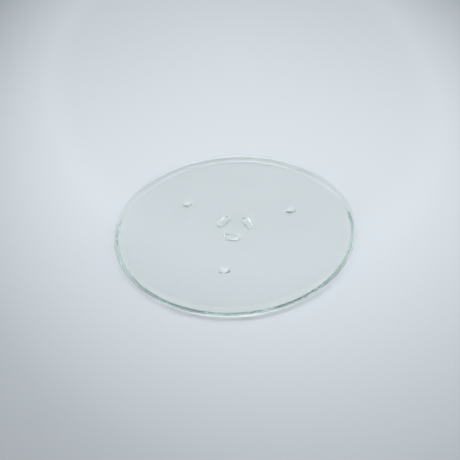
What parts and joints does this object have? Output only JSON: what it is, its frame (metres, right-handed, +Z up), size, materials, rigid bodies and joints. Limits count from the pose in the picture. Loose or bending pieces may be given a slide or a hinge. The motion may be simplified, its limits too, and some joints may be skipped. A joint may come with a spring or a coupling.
{
  "type": "microwave turntable plate",
  "caption": "Round clear pressed-glass turntable plate, dish side up, with a low rounded rim, drive lugs under its centre and low round feet further out.",
  "frame": {"origin": "on the plate's axis, on the table under the drive lugs", "axes": "+Z up along the plate's axis, out of the dish; the drive lug and the foot to the right of the picture's view lie 19.1 degrees from +X towards +Y"},
  "size_m": [0.288, 0.288, 0.0086],
  "materials": {
    "clear_glass": "clear pressed soda-lime glass, faintly green at the edge"
  },
  "bodies": {
    "root": {"glass_plate": "clear_glass"}
  },
  "joints": []
}
